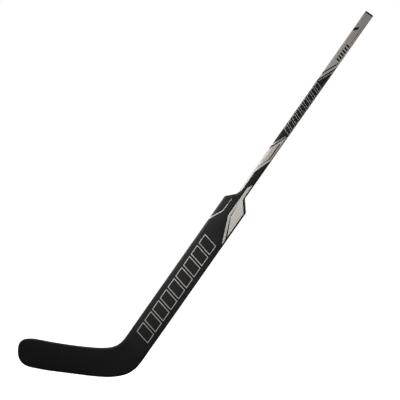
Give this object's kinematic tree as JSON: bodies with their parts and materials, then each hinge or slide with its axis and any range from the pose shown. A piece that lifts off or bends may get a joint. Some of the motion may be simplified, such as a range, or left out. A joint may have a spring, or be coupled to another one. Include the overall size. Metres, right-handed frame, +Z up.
{
  "type": "ice hockey goalkeeper's stick",
  "caption": "Ice hockey goalkeeper's stick with a straight hollow shaft, a wide flat paddle, a curved blade and a push-in butt plug.",
  "frame": {"origin": "middle of the flat stretch of the sole, on the ice and at the blade's middle thickness", "axes": "+Z up from the ice, +X from the toe towards the heel, so the shaft leans to +X at 62.2 degrees above the ice, and -Y out of the forehand face"},
  "size_m": [1.0135, 0.03, 1.2982],
  "materials": {
    "shaft_paint": "satin black paint over a fibre composite tube",
    "skin_paint": "satin black paint over fibre laminate",
    "edge_laminate": "satin black painted edge",
    "light_foam": "rigid closed-cell foam",
    "dense_foam": "dense rigid foam",
    "spine_wood": "sanded softwood",
    "plug_rubber": "matt moulded rubber",
    "grey_film": "satin warm grey print under lacquer",
    "pale_film": "satin pale grey print under lacquer",
    "line_film": "satin grey outline print under lacquer",
    "black_film": "satin black print under lacquer"
  },
  "bodies": {
    "stick": {"shaft_tube": "shaft_paint", "shaft_bung": "light_foam", "paddle_face_skin": "skin_paint", "paddle_back_skin": "skin_paint", "paddle_spine": "spine_wood", "paddle_rail_toe_side": "edge_laminate", "paddle_rail_heel_side": "edge_laminate", "paddle_core_toe_side": "light_foam", "paddle_core_heel_side": "light_foam", "shoulder_block_toe_side": "dense_foam", "shoulder_block_heel_side": "dense_foam", "blade_face_skin": "skin_paint", "blade_back_skin": "skin_paint", "sole_rail": "edge_laminate", "toe_rail": "edge_laminate", "top_rail": "edge_laminate", "heel_core": "dense_foam", "blade_core_lower": "dense_foam", "blade_core_upper": "light_foam", "paddle_bars": "line_film", "shoulder_panel": "grey_film", "shoulder_stripe": "pale_film", "paddle_pinstripe": "grey_film", "shaft_diamond": "grey_film", "shaft_bars": "line_film", "corner_band": "pale_film", "grip_wrap": "grey_film", "grip_stripes": "grey_film", "size_bars": "black_film", "end_mark": "black_film"},
    "plug": {"butt_plug": "plug_rubber"}
  },
  "joints": [
    {"name": "plug_pull", "type": "slide", "parent": "stick", "child": "plug", "axis": [0.4664, 0, 0.8846], "range_m": [0, 0.06]}
  ]
}
